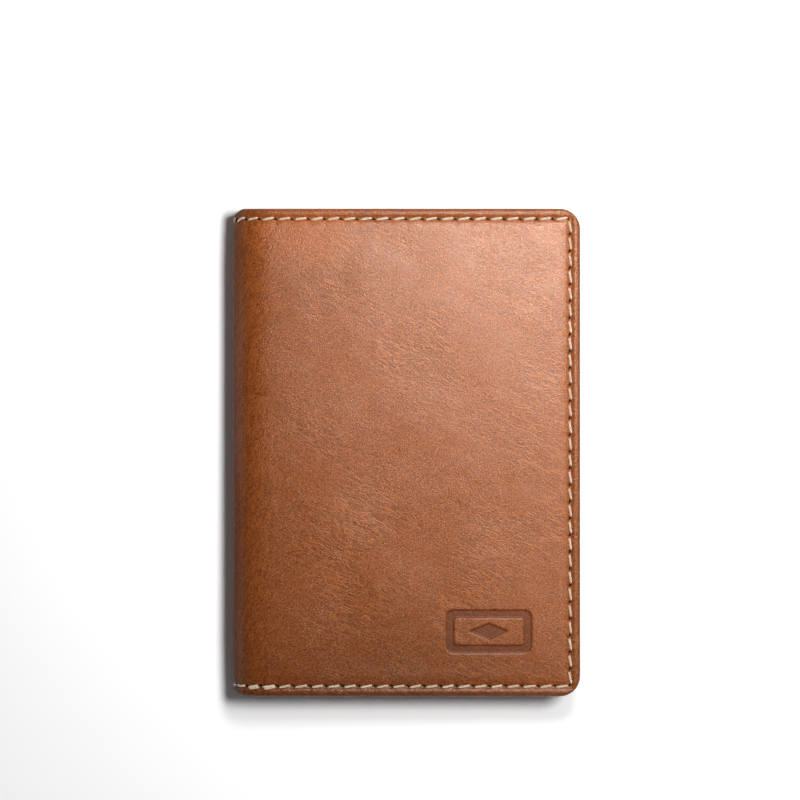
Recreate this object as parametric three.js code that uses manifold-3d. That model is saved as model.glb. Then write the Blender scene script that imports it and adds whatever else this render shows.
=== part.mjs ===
// A slim bifold card wallet, closed and lying on its back cover. Millimetres, +Z up, origin under the centre.
// The fold (spine) runs along Y at the -X side. The two halves are mirror images across z = thickness / 2:
// each is a stack of leather, board, lining and two stepped card pockets whose mouths face +Y.
import * as THREE from "three";
import { mergeVertices } from "three/addons/utils/BufferGeometryUtils.js";
import Module from "manifold-3d";

// ---- Driving dimensions ----
const width = 74.7;
const height = 105;
const thickness = 10.4;
const cornerRadius = 4.4;

// Layers of one half, from the outer face inwards
const coverLeather = 1.0;
const stiffenerBoard = 0.3;
const liningCloth = 0.2;
const slipPocketGap = 0.45;
const backingSheet = 0.25;
const cardGap = 0.8;
const pocketLeather = 0.6;
const glueLine = 0.02;
const fitGap = 0.1;

// Edges, seams and pockets
const panelInset = 0.7;
const hemWidth = 6;
const seamInset = 2.15;
const seamAllowance = 3.3;
const panelToFold = 0.8;
const rearMouthY = 37;
const frontMouthY = 26;
const rearBottomY = -42;

// The fold: a half circle of leather between two fold lines, drawn in a little at both ends
const foldRadius = thickness / 2;
const foldLineAngle = 45;
const foldLineGap = 0.6;
const foldEndDrawIn = 1.6;
const foldEndCurve = 1.7;

// Thread and its groove
const stitchPitch = 3.55;
const stitchLength = 2.4;
const stitchRamp = 0.25;
const threadWidth = 0.55;
const threadTop = 0.05;
const threadDip = 0.22;
const threadBottom = 0.4;
const dropGap = 0.15;
const grooveWidth = 0.9;
const grooveDepth = 0.45;
const grooveClear = 0.5;
const seamCornerRadius = 2;

// Blind-stamped mark on the front cover: a plain frame round a lozenge
const markCentre = new THREE.Vector2(17.7, -38.5);
const markSize = new THREE.Vector2(18.4, 9.3);
const markLine = 1.7;
const markDepth = 0.35;
const markRadius = 1.6;
const lozenge = new THREE.Vector2(8.6, 3.6);

// ---- Values that follow ----
const right = width / 2;
const top = height / 2;
const foldX = -right + foldRadius;
const panelLeft = foldX + panelToFold;
const panelRight = right - panelInset;
const panelTop = top - panelInset;
const panelRadius = cornerRadius - panelInset;
const seamRight = right - seamInset;
const seamTop = top - seamInset;

const zStiffener = coverLeather;
const zLining = zStiffener + stiffenerBoard;
const zPanels = zLining + liningCloth;
const zBacking = zPanels + slipPocketGap;
const zSlotRear = zBacking + backingSheet;
const zRearPocket = zSlotRear + cardGap;
const zSlotFront = zRearPocket + pocketLeather;
const zFrontPocket = zSlotFront + cardGap;
const zInside = zFrontPocket + pocketLeather;

const leather = () => new THREE.MeshStandardMaterial({ color: 0xb07a55, roughness: 0.55, metalness: 0 });
const pocketSkin = () => new THREE.MeshStandardMaterial({ color: 0x9c6540, roughness: 0.6, metalness: 0 });
const cloth = () => new THREE.MeshStandardMaterial({ color: 0x6b5a49, roughness: 0.95, metalness: 0 });
const board = () => new THREE.MeshStandardMaterial({ color: 0x8a7a68, roughness: 0.9, metalness: 0 });
const thread = () => new THREE.MeshStandardMaterial({ color: 0xe9d8bf, roughness: 0.8, metalness: 0 });

// ---- Solids ----
const wasm = await Module();
wasm.setup();

function solidOf(geometry) {
  const bare = geometry.clone();
  bare.deleteAttribute("normal");
  bare.deleteAttribute("uv");
  const merged = mergeVertices(bare, 1e-4);
  const vertProperties = merged.attributes.position.array;
  const triVerts = new Uint32Array(merged.index.array);
  return new wasm.Manifold(new wasm.Mesh({ numProp: 3, vertProperties, triVerts }));
}

function geometryOf(solid) {
  const mesh = solid.getMesh();
  const geometry = new THREE.BufferGeometry();
  geometry.setAttribute("position", new THREE.BufferAttribute(new Float32Array(mesh.vertProperties), 3));
  geometry.setIndex(new THREE.BufferAttribute(new Uint32Array(mesh.triVerts), 1));
  return geometry;
}

// A closed solid through a row of four-cornered sections, each corner a Vector3, in the same order.
function loft(sections) {
  const faces = [0, 1, 2, 0, 2, 3];
  for (let i = 0; i + 1 < sections.length; i++) {
    for (let k = 0; k < 4; k++) {
      const a = i * 4 + k;
      const b = i * 4 + ((k + 1) % 4);
      faces.push(a, b + 4, b, a, a + 4, b + 4);
    }
  }
  const last = (sections.length - 1) * 4;
  faces.push(last, last + 2, last + 1, last, last + 3, last + 2);
  const geometry = new THREE.BufferGeometry().setFromPoints(sections.flat());
  geometry.setIndex(faces);
  return geometry;
}

// A flat sheet from z0 to z1 with the outline of a THREE.Shape.
function sheet(shape, z0, z1) {
  const settings = { depth: z1 - z0, bevelEnabled: false, curveSegments: 6 };
  return new THREE.ExtrudeGeometry(shape, settings).translate(0, 0, z0);
}

// A rectangle whose +X corners are rounded; a radius of zero leaves the -X corners square.
function outline(x0, x1, y0, y1, radiusRight, radiusLeft = 0) {
  const shape = new THREE.Shape();
  shape.moveTo(x0 + radiusLeft, y0);
  shape.absarc(x1 - radiusRight, y0 + radiusRight, radiusRight, -Math.PI / 2, 0, false);
  shape.absarc(x1 - radiusRight, y1 - radiusRight, radiusRight, 0, Math.PI / 2, false);
  if (radiusLeft === 0) {
    shape.lineTo(x0, y1);
    return shape;
  }
  shape.absarc(x0 + radiusLeft, y1 - radiusLeft, radiusLeft, Math.PI / 2, Math.PI, false);
  shape.absarc(x0 + radiusLeft, y0 + radiusLeft, radiusLeft, Math.PI, 1.5 * Math.PI, false);
  return shape;
}

function block(x0, x1, y0, y1, z0, z1) {
  const geometry = new THREE.BoxGeometry(x1 - x0, y1 - y0, z1 - z0);
  return geometry.translate((x0 + x1) / 2, (y0 + y1) / 2, (z0 + z1) / 2);
}

// The front half is the back half seen in a mirror lying half way up.
function mirrored(geometry) {
  const copy = geometryOf(solidOf(geometry));
  const position = copy.attributes.position;
  for (let i = 0; i < position.count; i++) position.setZ(i, thickness - position.getZ(i));
  copy.setIndex([...copy.index.array].reverse());
  return copy;
}

// ---- The fold ----
// Angle 0 is where the flat back ends, 90 the outermost line of the spine, 180 where the flat front begins.
const rad = THREE.MathUtils.degToRad;
const drawIn = (angle) => foldEndDrawIn * (1 - Math.abs(angle - 90) / 90) ** foldEndCurve;

function foldPoint(angle, radius) {
  return new THREE.Vector2(foldX - radius * Math.sin(rad(angle)), foldRadius - radius * Math.cos(rad(angle)));
}

const section = (outer, inner, half) => [
  new THREE.Vector3(outer.x, -half, outer.y),
  new THREE.Vector3(outer.x, half, outer.y),
  new THREE.Vector3(inner.x, half, inner.y),
  new THREE.Vector3(inner.x, -half, inner.y),
];

// Sections of a sheet bent round the fold, between two depths below the outer face.
function foldSections(from, to, depth0, depth1, endInset) {
  const steps = 10;
  return Array.from({ length: steps + 1 }, (_, i) => {
    const angle = from + ((to - from) * i) / steps;
    const outer = foldPoint(angle, foldRadius - depth0);
    const inner = foldPoint(angle, foldRadius - depth1);
    return section(outer, inner, top - endInset - drawIn(angle));
  });
}

// A flat sheet with rounded +X corners that runs on round the fold as far as an angle.
function foldedSheet(depth0, depth1, endInset, radius, angle) {
  const steps = 8;
  const edge = right - endInset;
  const flat = Array.from({ length: steps }, (_, i) => {
    const turn = rad(90 * (1 - i / steps));
    const x = edge - radius + radius * Math.sin(turn);
    const half = top - endInset - radius + radius * Math.cos(turn);
    return section(new THREE.Vector2(x, depth0), new THREE.Vector2(x, depth1), half);
  });
  return loft([...flat, ...foldSections(0, angle, depth0, depth1, endInset)]);
}

// ---- Seams ----
// A station of a seam: a point on the sewn face, the direction across the seam and the way into the material.
const up = new THREE.Vector3(0, 0, 1);
const down = new THREE.Vector3(0, 0, -1);

// Stations along a flat polyline with rounded corners, one for each arc length listed by marks.
function flatStations(corners, z, marks, into) {
  const path = new THREE.CurvePath();
  const points = corners.map(([x, y]) => new THREE.Vector3(x, y, z));
  let from = points[0];
  for (let i = 1; i + 1 < points.length; i++) {
    const before = points[i - 1].clone().sub(points[i]).setLength(seamCornerRadius).add(points[i]);
    const after = points[i + 1].clone().sub(points[i]).setLength(seamCornerRadius).add(points[i]);
    path.add(new THREE.LineCurve3(from, before));
    path.add(new THREE.QuadraticBezierCurve3(before, points[i], after));
    from = after;
  }
  path.add(new THREE.LineCurve3(from, points.at(-1)));
  const length = path.getLength();
  return marks(length, path).map((s) => {
    const share = Math.min(1, s / length);
    const across = new THREE.Vector3().crossVectors(into, path.getTangentAt(share));
    return { point: path.getPointAt(share), across, into };
  });
}

// Stations of a seam round the fold, at the +Y end (side 1) or the -Y end (side -1).
function foldStations(from, to, side) {
  const steps = 6;
  const ahead = Math.sign(from - to);
  return Array.from({ length: steps + 1 }, (_, i) => {
    const angle = from + ((to - from) * i) / steps;
    const flat = foldPoint(angle, foldRadius);
    const point = new THREE.Vector3(flat.x, side * (seamTop - drawIn(angle)), flat.y);
    const into = new THREE.Vector3(foldX - flat.x, 0, foldRadius - flat.y).normalize();
    return { point, across: new THREE.Vector3(0, ahead, 0), into };
  });
}

// A ribbon along stations, from depth(i) into the material down to the floor depth.
function ribbon(stations, ribbonWidth, depth, floor) {
  return loft(
    stations.map(({ point, across, into }, i) => {
      const corner = (side, deep) =>
        point.clone().addScaledVector(across, (side * ribbonWidth) / 2).addScaledVector(into, deep);
      return [corner(1, depth(i)), corner(-1, depth(i)), corner(-1, floor), corner(1, floor)];
    }),
  );
}

const groove = (stations) => solidOf(ribbon(stations, grooveWidth, () => -grooveClear, grooveDepth));
const carve = (solid, stations) => solid.subtract(groove(stations));
const plainThread = (stations) => ribbon(stations, threadWidth, () => threadTop, threadBottom);

// Each stitch rises out of its hole, runs along the face and dips into the next hole: four marks a stitch.
function stitchMarks(length) {
  const stitches = Math.round(length / stitchPitch);
  const pitch = length / stitches;
  return Array.from({ length: stitches }, (_, i) => {
    const start = i * pitch + (pitch - stitchLength) / 2;
    return [start, start + stitchRamp, start + stitchLength - stitchRamp, start + stitchLength];
  }).flat();
}

// Marks at the ends of each straight stretch and in six steps round each corner.
function turnMarks(length, path) {
  const marks = [0];
  for (const curve of path.curves) {
    const steps = curve.isLineCurve3 ? 1 : 6;
    const from = marks.at(-1);
    for (let i = 1; i <= steps; i++) marks.push(from + (curve.getLength() * i) / steps);
  }
  return marks;
}

// ---- Pieces of one half, drawn as the back half ----
const foldEnd = foldLineAngle - foldLineGap;
const edgePath = [[foldX, seamTop], [seamRight, seamTop], [seamRight, -seamTop], [foldX, -seamTop]];
const aroundFold = (flat, angle) => [
  ...foldStations(angle, 0, 1).slice(0, -1),
  ...flat,
  ...foldStations(0, angle, -1).slice(1),
];

function stampedMark() {
  const [x0, x1] = [markCentre.x - markSize.x / 2, markCentre.x + markSize.x / 2];
  const [y0, y1] = [markCentre.y - markSize.y / 2, markCentre.y + markSize.y / 2];
  const frame = outline(x0, x1, y0, y1, markRadius, markRadius);
  frame.holes.push(outline(x0 + markLine, x1 - markLine, y0 + markLine, y1 - markLine, 0.6, 0.6));
  const diamond = new THREE.Shape([
    new THREE.Vector2(markCentre.x - lozenge.x / 2, markCentre.y),
    new THREE.Vector2(markCentre.x, markCentre.y - lozenge.y / 2),
    new THREE.Vector2(markCentre.x + lozenge.x / 2, markCentre.y),
    new THREE.Vector2(markCentre.x, markCentre.y + lozenge.y / 2),
  ]);
  return solidOf(sheet(frame, -1, markDepth)).add(solidOf(sheet(diamond, -1, markDepth)));
}

// The cover leather is turned in all round: a hem as deep as the lining, with a recess inside it.
function coverPiece(stamp) {
  const recess = solidOf(foldedSheet(coverLeather, zPanels + 1, hemWidth, 1, foldLineAngle + 5));
  const flat = flatStations(edgePath, 0, stitchMarks, up);
  const cover = solidOf(foldedSheet(0, zPanels, 0, cornerRadius, foldEnd)).subtract(recess);
  const grooved = carve(cover, aroundFold(flat, foldEnd + 2));
  return geometryOf(stamp ? grooved.subtract(stamp) : grooved);
}

function stiffenerPiece() {
  const edge = right - hemWidth - fitGap;
  const half = top - hemWidth - fitGap;
  return sheet(outline(foldX + 2, edge, -half, half, 1, 1), zStiffener + glueLine, zLining - glueLine);
}

const liningPiece = () => foldedSheet(zLining, zPanels - glueLine, hemWidth + fitGap, 1, foldEnd);

function coverSeam() {
  const flat = flatStations(edgePath, 0, stitchMarks, up);
  const raised = (i) => i % 4 === 1 || i % 4 === 2;
  const foldSteps = foldStations(foldEnd, 0, 1).length - 1;
  const onFlat = (i) => i >= foldSteps && i < foldSteps + flat.length;
  const depth = (i) => (onFlat(i) && !raised(i - foldSteps) ? threadDip : threadTop);
  return ribbon(aroundFold(flat, foldEnd), threadWidth, depth, threadBottom);
}

// The seams on the open face of the stack follow the steps down at the pocket mouths, one run on each face.
// The groove of a run starts before the thread by its lead and goes on past it by its tail.
const dropEnd = dropGap + threadWidth;
const sideSeamX = panelLeft + seamAllowance / 2;
const innerRuns = [
  {
    z: zInside,
    path: [[panelLeft + 0.4, -seamTop], [seamRight, -seamTop], [seamRight, frontMouthY + dropEnd]],
    lead: 1,
    tail: 0,
  },
  {
    z: zSlotFront,
    path: [[seamRight, frontMouthY + dropGap], [seamRight, rearMouthY + dropEnd]],
    lead: dropGap / 2,
    tail: 0,
  },
  {
    z: zSlotRear,
    path: [[seamRight, rearMouthY + dropGap], [seamRight, seamTop], [panelLeft + 0.4, seamTop]],
    lead: dropGap / 2,
    tail: 1,
  },
];
const sideRuns = [
  {
    z: zInside,
    path: [[sideSeamX, 1.2 - seamTop], [sideSeamX, frontMouthY + dropEnd]],
    lead: 0.1,
    tail: 0,
  },
  {
    z: zSlotFront,
    path: [[sideSeamX, frontMouthY + dropGap], [sideSeamX, rearMouthY - 0.6]],
    lead: dropGap / 2,
    tail: 0.1,
  },
];

const runStations = (path, z) => flatStations(path, z, turnMarks, down);

// The thread of a seam: its runs, joined by a short drop just past each pocket mouth.
function steppedSeam(runs) {
  const threads = runs.map(({ path, z }) => solidOf(plainThread(runStations(path, z))));
  const drops = runs.slice(1).map(({ path: [[x, y]], z }, i) => {
    const [x0, x1] = [x - threadWidth / 2, x + threadWidth / 2];
    return solidOf(block(x0, x1, y, y + threadWidth, z - threadBottom, runs[i].z - threadTop));
  });
  return geometryOf([...threads, ...drops].reduce((all, piece) => all.add(piece)));
}

// Moves one end of a run outwards, away from the point next to it.
function movedOut([x, y], [nextX, nextY], distance) {
  const move = new THREE.Vector2(x - nextX, y - nextY).setLength(distance);
  return [x + move.x, y + move.y];
}

// Cuts the grooves of both inner seams out of one sheet of the stack.
function carveInnerSeams(solid, z) {
  const runs = [...innerRuns, ...sideRuns].filter((run) => run.z === z);
  return runs.reduce((left, { path, lead, tail }) => {
    const first = movedOut(path[0], path[1], lead);
    const last = movedOut(path.at(-1), path.at(-2), tail);
    return carve(left, runStations([first, ...path.slice(1, -1), last], z));
  }, solid);
}

const slotLeft = panelLeft + seamAllowance;
const slotRight = panelRight - seamAllowance;
const slotBottom = -panelTop + seamAllowance;
const wide = (y0, y1, z0, z1) => solidOf(block(panelLeft - 1, panelRight + 1, y0, y1, z0, z1));

// The backing sheet is sewn at three edges and open at the fold: that is the slip pocket.
function backingPiece() {
  const shape = outline(panelLeft, panelRight, -panelTop, panelTop, panelRadius);
  const pocket = block(panelLeft - 1, slotRight, slotBottom, -slotBottom, zPanels - 1, zBacking);
  const body = solidOf(sheet(shape, zPanels + glueLine, zSlotRear)).subtract(solidOf(pocket));
  return geometryOf(carveInnerSeams(body, zSlotRear));
}

// The rear card pocket, sewn to the backing along its bottom and both sides.
function rearPocketPiece() {
  const body = block(panelLeft, panelRight, rearBottomY, rearMouthY, zSlotRear + glueLine, zSlotFront);
  const y0 = rearBottomY + seamAllowance;
  const slot = block(slotLeft, slotRight, y0, rearMouthY + 1, zSlotRear - 1, zRearPocket);
  return geometryOf(carveInnerSeams(solidOf(body).subtract(solidOf(slot)), zSlotFront));
}

// The front card pocket lies over the rear one and steps down past its bottom edge to the backing.
function frontPocketPiece() {
  const shape = new THREE.Shape();
  shape.moveTo(panelLeft, frontMouthY);
  shape.lineTo(panelLeft, -panelTop);
  shape.absarc(panelRight - panelRadius, panelRadius - panelTop, panelRadius, -Math.PI / 2, 0, false);
  shape.lineTo(panelRight, frontMouthY);
  const body = solidOf(sheet(shape, zSlotRear + glueLine, zInside));
  const overRear = wide(rearBottomY - fitGap, frontMouthY + 1, zSlotRear - 1, zSlotFront + glueLine);
  const slot = block(slotLeft, slotRight, slotBottom, frontMouthY + 1, zSlotRear - 1, zFrontPocket);
  return geometryOf(carveInnerSeams(body.subtract(overRear).subtract(solidOf(slot)), zInside));
}

// ---- The spine between the two fold lines ----
const spineFrom = foldLineAngle + foldLineGap;
const spineTo = 180 - spineFrom;

function spineCover() {
  const hem = solidOf(loft(foldSections(spineFrom, spineTo, 0, zPanels, 0)));
  const recess = loft(foldSections(spineFrom - 5, spineTo + 5, coverLeather, zPanels + 1, hemWidth));
  const ends = [1, -1].map((side) => foldStations(spineFrom - 2, spineTo + 2, side));
  return geometryOf(ends.reduce(carve, hem.subtract(solidOf(recess))));
}

function spineStrip(depth0, depth1) {
  return loft(foldSections(spineFrom, spineTo, depth0, depth1, hemWidth + fitGap));
}

// ---- The wallet ----
const wallet = new THREE.Group();

function addNode(name, geometry, material) {
  geometry.computeVertexNormals();
  const mesh = new THREE.Mesh(geometry, material);
  mesh.name = name;
  wallet.add(mesh);
}

const halfPieces = (stamp) => [
  ["cover_leather", coverPiece(stamp), leather],
  ["cover_board", stiffenerPiece(), board],
  ["lining", liningPiece(), cloth],
  ["slip_pocket_backing", backingPiece(), cloth],
  ["rear_card_pocket", rearPocketPiece(), pocketSkin],
  ["front_card_pocket", frontPocketPiece(), pocketSkin],
  ["cover_seam_thread", coverSeam(), thread],
  ["inner_seam_thread", steppedSeam(innerRuns), thread],
  ["pocket_side_thread", steppedSeam(sideRuns), thread],
];

for (const [name, geometry, material] of halfPieces(null)) addNode(`back_${name}`, geometry, material());
for (const [name, geometry, material] of halfPieces(stampedMark())) {
  addNode(`front_${name}`, mirrored(geometry), material());
}

addNode("spine_leather", spineCover(), leather());
addNode("spine_reinforcement", spineStrip(coverLeather + glueLine, zLining - glueLine), cloth());
addNode("spine_lining", spineStrip(zLining, zPanels - glueLine), cloth());
for (const [name, side] of [["top", 1], ["bottom", -1]]) {
  const stations = foldStations(spineFrom, spineTo, side);
  addNode(`spine_${name}_seam_thread`, plainThread(stations), thread());
}

export default wallet;
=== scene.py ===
"""A slim bifold card wallet in tan leather, closed and lying on its back cover, seen from straight above.

The covers are dense shells worked out in flat coordinates (s along the leather, y along the fold) and then bent
round the fold; the seams are rows of twisted thread; the pockets are sewn sheets with pinched edges."""

import math

import bmesh
import bpy
import numpy as np
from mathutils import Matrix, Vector


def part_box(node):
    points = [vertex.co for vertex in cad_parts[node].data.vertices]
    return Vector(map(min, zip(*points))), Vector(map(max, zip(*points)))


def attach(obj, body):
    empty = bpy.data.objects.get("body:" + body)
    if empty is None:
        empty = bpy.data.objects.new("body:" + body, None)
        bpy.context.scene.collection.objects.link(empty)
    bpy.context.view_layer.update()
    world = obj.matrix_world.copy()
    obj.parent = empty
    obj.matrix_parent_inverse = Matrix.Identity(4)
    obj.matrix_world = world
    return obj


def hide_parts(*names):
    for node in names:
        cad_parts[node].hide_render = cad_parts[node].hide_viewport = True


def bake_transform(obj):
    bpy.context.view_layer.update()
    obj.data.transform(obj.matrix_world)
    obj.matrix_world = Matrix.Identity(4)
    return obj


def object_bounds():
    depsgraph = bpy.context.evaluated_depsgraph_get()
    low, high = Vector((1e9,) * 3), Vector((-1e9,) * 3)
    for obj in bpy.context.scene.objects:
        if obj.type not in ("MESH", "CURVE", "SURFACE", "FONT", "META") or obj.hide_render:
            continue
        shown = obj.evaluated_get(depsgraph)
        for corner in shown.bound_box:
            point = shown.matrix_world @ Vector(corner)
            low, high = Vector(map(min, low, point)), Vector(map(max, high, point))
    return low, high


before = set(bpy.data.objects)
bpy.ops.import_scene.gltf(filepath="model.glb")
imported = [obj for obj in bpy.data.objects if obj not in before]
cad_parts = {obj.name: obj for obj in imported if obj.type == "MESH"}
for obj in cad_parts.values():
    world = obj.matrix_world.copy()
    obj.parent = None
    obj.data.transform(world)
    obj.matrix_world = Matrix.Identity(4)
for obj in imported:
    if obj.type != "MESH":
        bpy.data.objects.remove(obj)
cad_low, cad_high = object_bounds()
MM = 0.001


def node_box(name):
    """Lowest and highest corner of a CAD node, in millimetres."""
    low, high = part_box(name)
    return np.array(low) / MM, np.array(high) / MM


# ---- Sizes, in millimetres, read from the frame ----
RIGHT = cad_high.x / MM
TOP = cad_high.y / MM
THICK = cad_high.z / MM
FOLD_R = THICK / 2
FOLD_X = cad_low.x / MM + FOLD_R
APEX_S = FOLD_X - FOLD_R * math.pi / 2

CORNER_R = 4.4
SEAM_IN = 2.15
SEAM_X = RIGHT - SEAM_IN
SEAM_Y = TOP - SEAM_IN
HEM = 6.0
LEATHER = 1.0
LAYER_GAP = 0.03
HEM_DEPTH = node_box("back_slip_pocket_backing")[0][2] - LAYER_GAP
DRAW_IN = 1.35
FOLD_EASE = 4.2
FOLD_SINK = 0.35
EDGE_R = 0.55
BEYOND = 50

# Relief of the outer face. BACK_LIFT moves the back cover's face in, to keep its relief above the table.
GROOVE = 0.13
HOLE_DIP = 0.20
BORDER_RISE = 0.17
CROWN_NEAR, CROWN_FAR = 0.22, 0.16
PUFF = 0.05
SWELL, RIPPLE = 0.05, 0.012
MARK_DEPTH = 0.34
BACK_LIFT = -0.57

# The inner sides of the sheets take their grain from another height of the same noise.
INNER_GRAIN_AT = 40.0

ROW_STITCHES = 21.5
SIDE_STITCHES = 28
ROW_PITCH = (SEAM_X - APEX_S) / ROW_STITCHES
SIDE_PITCH = 2 * SEAM_Y / SIDE_STITCHES
ALL_STITCHES = int(2 * ROW_STITCHES + SIDE_STITCHES)
STITCH_SLANT = math.radians(9.5)
STITCH_VISIBLE = 2.65
THREAD_R, INNER_THREAD_R = 0.25, 0.23
THREAD_TURNS = 1.5
THREAD_DIP, INNER_THREAD_DIP = 0.42, 0.34
THREAD_SEAT = 0.14
HOLE_LEAD = 0.45
DOUBLED_STITCHES = (2, 3)
DOUBLED_OUT, DOUBLED_BACK = 0.34, 0.25
CREASE_ANGLE = -24

MARK_CENTRE = (17.7, -38.5)
MARK_SIZE = (18.4, 9.3)
MARK_LINE = 1.7
LOZENGE = (8.6, 3.6)
MARK_MARGIN = 0.4

rng = np.random.default_rng(7)


# ---- Small maths ----
def smooth(edge0, edge1, value):
    t = np.clip((value - edge0) / (edge1 - edge0), 0, 1)
    return t * t * (3 - 2 * t)


def bell(value, centre, width):
    return np.exp(-(((value - centre) / width) ** 2))


def fillet(distance, radius):
    """How far a rounded edge lies below the flat, at a distance inside the outline."""
    short = np.clip(radius - distance, 0, radius)
    return radius - np.sqrt(np.maximum(radius**2 - short**2, 0))


class Waves:
    """A soft random surface: a sum of plane waves with seeded directions and phases."""

    def __init__(self, shortest, longest, count=28):
        angle = rng.uniform(0, math.pi, count)
        length = np.exp(rng.uniform(math.log(shortest), math.log(longest), count))
        self.kx = 2 * math.pi / length * np.cos(angle)
        self.ky = 2 * math.pi / length * np.sin(angle)
        self.phase = rng.uniform(0, 2 * math.pi, count)
        self.scale = 1 / math.sqrt(count / 2)

    def __call__(self, x, y):
        total = np.zeros_like(x)
        for kx, ky, phase in zip(self.kx, self.ky, self.phase):
            total += np.cos(kx * x + ky * y + phase)
        return total * self.scale


def inside(x, y, x0, x1, y0, y1, radius):
    """Distance inside a rounded rectangle, positive within it."""
    qx = np.abs(x - (x0 + x1) / 2) - (x1 - x0) / 2 + radius
    qy = np.abs(y - (y0 + y1) / 2) - (y1 - y0) / 2 + radius
    outer = np.hypot(np.maximum(qx, 0), np.maximum(qy, 0))
    return radius - outer - np.minimum(np.maximum(qx, qy), 0)


def spaced(start, end, step, fine=()):
    """Numbers from start to end about step apart, and closer in each (from, to, step) of fine."""
    out = [start]
    while out[-1] < end - 1e-6:
        here = out[-1]
        gap = step
        for low, high, small in fine:
            if low - 1e-6 <= here < high:
                gap = min(gap, small)
            elif low > here:
                gap = min(gap, max(small, low - here))
        out.append(min(end, here + gap))
    if len(out) > 2 and out[-1] - out[-2] < step * 0.2:
        del out[-2]
    return np.array(out)


# ---- The leather bent round the fold ----
def drawn_in(s):
    """How far the ends of the fold pull in at s."""
    return DRAW_IN * smooth(FOLD_X - 0.50 * (FOLD_X - APEX_S), APEX_S - 0.4, s)


def bend(s, y, depth, half):
    """Flat coordinates to the row frame, in millimetres. Depth is below the outer face."""
    over = np.clip((FOLD_X - s) / FOLD_R, 0, math.pi)
    radius = FOLD_R - depth
    x = np.where(over > 0, FOLD_X - radius * np.sin(over), s)
    z = np.where(over > 0, FOLD_R - radius * np.cos(over), depth)
    y = y * (1 - drawn_in(s) / TOP)
    return np.stack([x, y, z if half == "back" else THICK - z], -1)


def eased(s):
    """How far the outer face lies below the plain arc, so that the fold starts without a hard line."""
    ahead = np.clip(FOLD_X + FOLD_EASE - s, 0, 2 * FOLD_EASE)
    past = np.clip(FOLD_X - s, 0, FOLD_EASE)
    drop = ahead**3 / (12 * FOLD_EASE * FOLD_R) - past**2 / (2 * FOLD_R)
    return drop - FOLD_SINK * smooth(FOLD_X - FOLD_EASE, APEX_S, s)


def from_edge(s, y):
    """Distance inside the outline of the cover, which has no edge at the fold."""
    return inside(s, y, APEX_S - BEYOND, RIGHT, -TOP, TOP, CORNER_R)


# ---- Meshes ----
def mesh_object(name, points, faces, materials, attributes=None, face_materials=None, outward=None):
    """A mesh from points in millimetres. Faces is a list of index arrays, one row for each face.

    With outward, all faces are turned to agree with each other, the first one facing that way."""
    mesh = bpy.data.meshes.new(name)
    polygons = [row for block in faces for row in np.asarray(block).tolist()]
    mesh.from_pydata((np.asarray(points) * MM).tolist(), [], polygons)
    if outward is not None:
        shell = bmesh.new()
        shell.from_mesh(mesh)
        bmesh.ops.recalc_face_normals(shell, faces=shell.faces)
        shell.faces.ensure_lookup_table()
        if shell.faces[0].normal.dot(Vector(outward)) < 0:
            bmesh.ops.reverse_faces(shell, faces=shell.faces)
        shell.to_mesh(mesh)
        shell.free()
    mesh.polygons.foreach_set("use_smooth", np.ones(len(polygons), bool))
    for material in materials:
        mesh.materials.append(material)
    if face_materials is not None:
        mesh.polygons.foreach_set("material_index", np.asarray(face_materials, np.int32))
    for key, values in (attributes or {}).items():
        values = np.asarray(values, np.float32)
        kind = "FLOAT_VECTOR" if values.ndim == 2 else "FLOAT"
        attribute = mesh.attributes.new(key, kind, "POINT")
        attribute.data.foreach_set("vector" if values.ndim == 2 else "value", values.ravel())
    mesh.validate()
    mesh.update()
    made = bpy.data.objects.new(name, mesh)
    bpy.context.scene.collection.objects.link(made)
    return made


def ring_faces(count, rings, first, wrap=False):
    """Quads between rings of count points each, numbered from first."""
    k = np.arange(count if wrap else count - 1)
    after = (k + 1) % count
    rows = [
        np.stack([a + k, a + after, a + count + after, a + count + k], -1)
        for a in (first + r * count for r in range(rings - 1))
    ]
    return np.concatenate(rows)


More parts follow.
